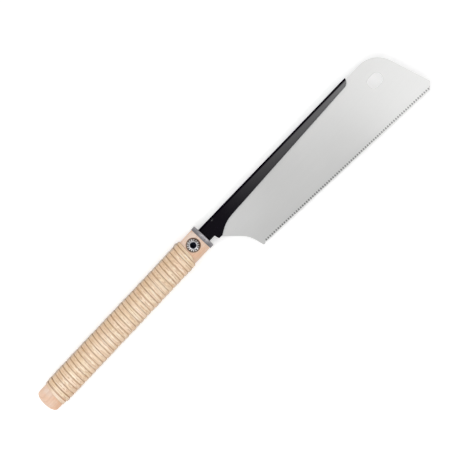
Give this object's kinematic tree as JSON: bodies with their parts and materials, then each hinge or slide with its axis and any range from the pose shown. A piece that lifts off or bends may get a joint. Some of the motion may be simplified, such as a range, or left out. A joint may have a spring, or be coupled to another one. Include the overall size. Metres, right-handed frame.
{
  "type": "dovetail saw",
  "caption": "Dovetail pull saw: a thin toothed plate in a black folded back, clamped by a hex-socket screw in the ferruled head of a rattan-wrapped wooden handle.",
  "frame": {"origin": "centre of the flat end of the handle's butt", "axes": "+X along the handle from the butt to the toe, +Y to the saw's back, away from the teeth, +Z out of the blade's face on the clamp screw's side; the blade's mid-plane is Z = 0"},
  "size_m": [0.5303, 0.0861, 0.0242],
  "materials": {
    "pale_wood": "smooth bare wood, slightly pink",
    "rattan": "split rattan cane, natural skin",
    "grey_steel": "dull grey pressed steel",
    "liner_steel": "plain sheet steel",
    "bright_zinc": "bright zinc plate",
    "black_steel": "black, half gloss",
    "blade_steel": "fine ground, bright"
  },
  "bodies": {
    "handle": {"handle_core": "pale_wood", "rattan_wrap": "rattan", "ferrule": "grey_steel", "tang_socket": "liner_steel", "ferrule_screw_back": "bright_zinc", "ferrule_screw_tooth": "bright_zinc", "tee_nut": "bright_zinc"},
    "blade_unit": {"saw_back": "black_steel", "saw_blade": "blade_steel", "root_rivet": "black_steel", "tang_rivet": "black_steel"},
    "washer": {"screw_washer": "bright_zinc"},
    "clamp_screw": {"clamp_screw": "bright_zinc"}
  },
  "joints": [
    {"name": "blade_release", "type": "slide", "parent": "handle", "child": "blade_unit", "axis": [1, 0, 0], "range_m": [0, 0.03]},
    {"name": "screw_rise", "type": "slide", "parent": "handle", "child": "washer", "axis": [0, 0, 1], "range_m": [0, 0.002]},
    {"name": "screw_turn", "type": "hinge", "parent": "washer", "child": "clamp_screw", "pos_m": [0.2307, 0.0009, 0.0094], "axis": [0, 0, 1], "range_deg": [0, 720]}
  ],
  "couplings": [
    {"joint": "screw_turn", "follows": "screw_rise", "rad_per_m": 6283}
  ]
}
